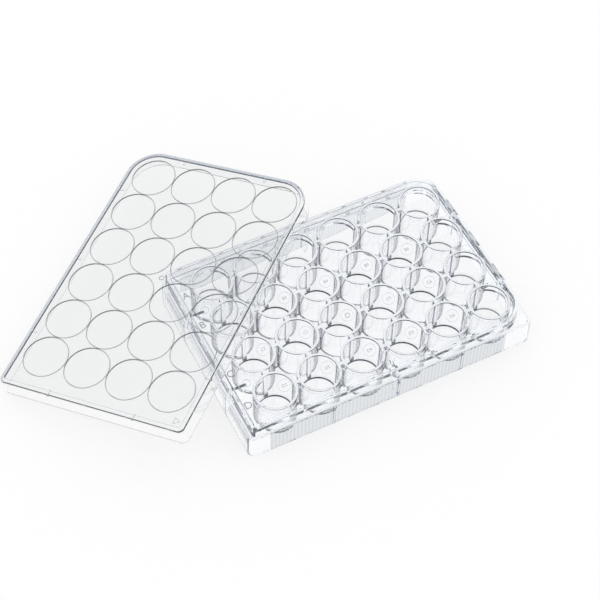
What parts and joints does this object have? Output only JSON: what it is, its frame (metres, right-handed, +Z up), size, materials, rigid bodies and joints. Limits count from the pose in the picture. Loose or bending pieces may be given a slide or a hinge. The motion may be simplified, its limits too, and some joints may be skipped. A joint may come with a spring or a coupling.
{
  "type": "well plate",
  "caption": "Clear multi-well culture plate with flat-bottomed round wells in a skirted frame, with its shallow lid off and leaning on the square end.",
  "frame": {"origin": "on the table under the middle of the whole object, plate and leaning lid together", "axes": "+X along the plate's columns towards its rounded end, +Y along its rows away from the lettered front row D, +Z up"},
  "size_m": [0.2026, 0.147, 0.0319],
  "materials": {
    "plate_plastic": "clear polished moulding",
    "lid_plastic": "clear polished moulding"
  },
  "bodies": {
    "root": {"plate": "plate_plastic", "lid": "lid_plastic"}
  },
  "joints": []
}
